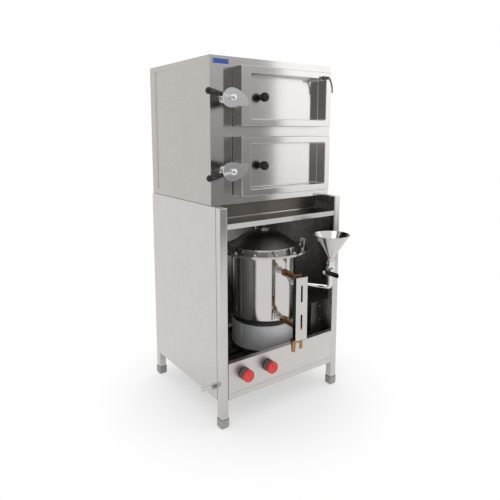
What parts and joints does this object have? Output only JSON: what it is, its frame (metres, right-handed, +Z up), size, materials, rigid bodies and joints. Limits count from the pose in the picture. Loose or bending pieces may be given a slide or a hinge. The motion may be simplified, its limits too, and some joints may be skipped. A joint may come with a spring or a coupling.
{
  "type": "idli steamer",
  "caption": "Gas-fired idli steamer: steel steaming box with two latched doors on an open square-tube stand, over a bolted boiler with water gauge, fill funnel and ring burner.",
  "frame": {"origin": "On the floor, under the middle of the whole object's bounding box at rest.", "axes": "+Z up, -Y is the front with the doors and gas knobs, +X is the right-hand side seen from the front."},
  "size_m": [0.673, 0.7004, 1.4053],
  "materials": {
    "apron_panel": "polished stainless steel",
    "back_panel": "brushed stainless steel sheet",
    "boiler_base_ring": "blackened iron",
    "boiler_lid": "brushed stainless steel sheet",
    "boiler_shell": "polished stainless steel",
    "boiler_trivet": "blackened iron",
    "box_shell": "polished stainless steel",
    "burner_skirt": "polished stainless steel",
    "drip_shelf": "polished stainless steel",
    "fill_funnel": "polished stainless steel",
    "fill_pipe_and_valve": "bright chrome plating",
    "fill_valve_lever": "black moulded plastic",
    "foot_back_left": "grey moulded boot",
    "foot_back_right": "grey moulded boot",
    "foot_front_left": "grey moulded boot",
    "foot_front_right": "grey moulded boot",
    "front_frame": "polished stainless steel",
    "gas_knob_left": "red moulded plastic",
    "gas_knob_right": "red moulded plastic",
    "gas_manifold": "machined brass",
    "gauge_cock_lower": "machined brass",
    "gauge_cock_upper": "machined brass",
    "gauge_drain_cock": "machined brass",
    "gauge_drain_lever": "machined brass",
    "gauge_glass": "clear boiler gauge glass",
    "gauge_guard": "polished stainless steel",
    "idli_tray_lower_bottom": "brushed stainless steel sheet",
    "idli_tray_lower_top": "brushed stainless steel sheet",
    "idli_tray_upper_bottom": "brushed stainless steel sheet",
    "idli_tray_upper_top": "brushed stainless steel sheet",
    "lower_chamber": "brushed stainless steel sheet",
    "lower_door": "polished stainless steel",
    "lower_door_knob": "black moulded plastic",
    "lower_door_seal": "heat-resistant silicone seal",
    "lower_hinge": "brushed stainless steel sheet",
    "lower_latch_cam": "bright chrome plating",
    "lower_latch_grip": "black moulded plastic",
    "lower_rail_back": "polished stainless steel",
    "lower_rail_front": "polished stainless steel",
    "lower_rail_left": "brushed stainless steel sheet",
    "lower_rail_right": "brushed stainless steel sheet",
    "post_back_left": "polished stainless steel",
    "post_back_right": "polished stainless steel",
    "post_front_left": "polished stainless steel",
    "post_front_right": "polished stainless steel",
    "ring_burner": "blackened iron",
    "side_panel_left": "polished stainless steel",
    "side_panel_right": "polished stainless steel",
    "steam_pipe": "bright chrome plating",
    "top_rail_left": "brushed stainless steel sheet",
    "top_rail_right": "brushed stainless steel sheet",
    "upper_chamber": "brushed stainless steel sheet",
    "upper_door": "polished stainless steel",
    "upper_door_knob": "black moulded plastic",
    "upper_door_seal": "heat-resistant silicone seal",
    "upper_hinge": "brushed stainless steel sheet",
    "upper_latch_cam": "bright chrome plating",
    "upper_latch_grip": "black moulded plastic",
    "vent_cock": "bright chrome plating",
    "vent_cock_lever": "bright chrome plating"
  },
  "bodies": {
    "cabinet": {"apron_panel": "apron_panel", "back_panel": "back_panel", "boiler_base_ring": "boiler_base_ring", "boiler_lid": "boiler_lid", "boiler_shell": "boiler_shell", "boiler_trivet": "boiler_trivet", "box_shell": "box_shell", "burner_skirt": "burner_skirt", "drip_shelf": "drip_shelf", "fill_funnel": "fill_funnel", "fill_pipe_and_valve": "fill_pipe_and_valve", "foot_back_left": "foot_back_left", "foot_back_right": "foot_back_right", "foot_front_left": "foot_front_left", "foot_front_right": "foot_front_right", "front_frame": "front_frame", "gas_manifold": "gas_manifold", "gauge_cock_lower": "gauge_cock_lower", "gauge_cock_upper": "gauge_cock_upper", "gauge_drain_cock": "gauge_drain_cock", "gauge_glass": "gauge_glass", "gauge_guard": "gauge_guard", "idli_tray_lower_bottom": "idli_tray_lower_bottom", "idli_tray_lower_top": "idli_tray_lower_top", "idli_tray_upper_bottom": "idli_tray_upper_bottom", "idli_tray_upper_top": "idli_tray_upper_top", "lower_chamber": "lower_chamber", "lower_hinge": "lower_hinge", "lower_rail_back": "lower_rail_back", "lower_rail_front": "lower_rail_front", "lower_rail_left": "lower_rail_left", "lower_rail_right": "lower_rail_right", "post_back_left": "post_back_left", "post_back_right": "post_back_right", "post_front_left": "post_front_left", "post_front_right": "post_front_right", "ring_burner": "ring_burner", "side_panel_left": "side_panel_left", "side_panel_right": "side_panel_right", "steam_pipe": "steam_pipe", "top_rail_left": "top_rail_left", "top_rail_right": "top_rail_right", "upper_chamber": "upper_chamber", "upper_hinge": "upper_hinge"},
    "upper_door": {"upper_door": "upper_door", "upper_door_seal": "upper_door_seal", "upper_door_knob": "upper_door_knob", "vent_cock": "vent_cock"},
    "lower_door": {"lower_door": "lower_door", "lower_door_seal": "lower_door_seal", "lower_door_knob": "lower_door_knob"},
    "upper_latch": {"upper_latch_cam": "upper_latch_cam", "upper_latch_grip": "upper_latch_grip"},
    "lower_latch": {"lower_latch_cam": "lower_latch_cam", "lower_latch_grip": "lower_latch_grip"},
    "gas_tap_left": {"gas_knob_left": "gas_knob_left"},
    "gas_tap_right": {"gas_knob_right": "gas_knob_right"},
    "fill_tap": {"fill_valve_lever": "fill_valve_lever"},
    "drain_tap": {"gauge_drain_lever": "gauge_drain_lever"},
    "vent_tap": {"vent_cock_lever": "vent_cock_lever"}
  },
  "joints": [
    {"name": "upper_door_hinge", "type": "hinge", "parent": "cabinet", "child": "upper_door", "pos_m": [0.28, -0.16029, 1.262], "axis": [0, 0, 1], "range_deg": [0, 110]},
    {"name": "lower_door_hinge", "type": "hinge", "parent": "cabinet", "child": "lower_door", "pos_m": [0.28, -0.16029, 1.004], "axis": [0, 0, 1], "range_deg": [0, 110]},
    {"name": "upper_latch_turn", "type": "hinge", "parent": "cabinet", "child": "upper_latch", "pos_m": [-0.2175, -0.21649, 1.254], "axis": [0, 1, 0], "range_deg": [0, 90]},
    {"name": "lower_latch_turn", "type": "hinge", "parent": "cabinet", "child": "lower_latch", "pos_m": [-0.2175, -0.21649, 0.989], "axis": [0, -1, 0], "range_deg": [0, 90]},
    {"name": "gas_knob_left_turn", "type": "hinge", "parent": "cabinet", "child": "gas_tap_left", "pos_m": [-0.1745, -0.22579, 0.203], "axis": [0, -1, 0], "range_deg": [0, 90]},
    {"name": "gas_knob_right_turn", "type": "hinge", "parent": "cabinet", "child": "gas_tap_right", "pos_m": [-0.0575, -0.22579, 0.203], "axis": [0, -1, 0], "range_deg": [0, 90]},
    {"name": "fill_valve_turn", "type": "hinge", "parent": "cabinet", "child": "fill_tap", "pos_m": [0.2052, -0.27521, 0.55599], "axis": [1, 0, 0], "range_deg": [0, 90]},
    {"name": "drain_cock_turn", "type": "hinge", "parent": "cabinet", "child": "drain_tap", "pos_m": [0.03878, -0.304, 0.315], "axis": [-0.9877, 0.1564, 0], "range_deg": [0, 90]},
    {"name": "vent_cock_turn", "type": "hinge", "parent": "upper_door", "child": "vent_tap", "pos_m": [0.234, -0.23189, 1.347], "axis": [0, -1, 0], "range_deg": [0, 90]}
  ]
}
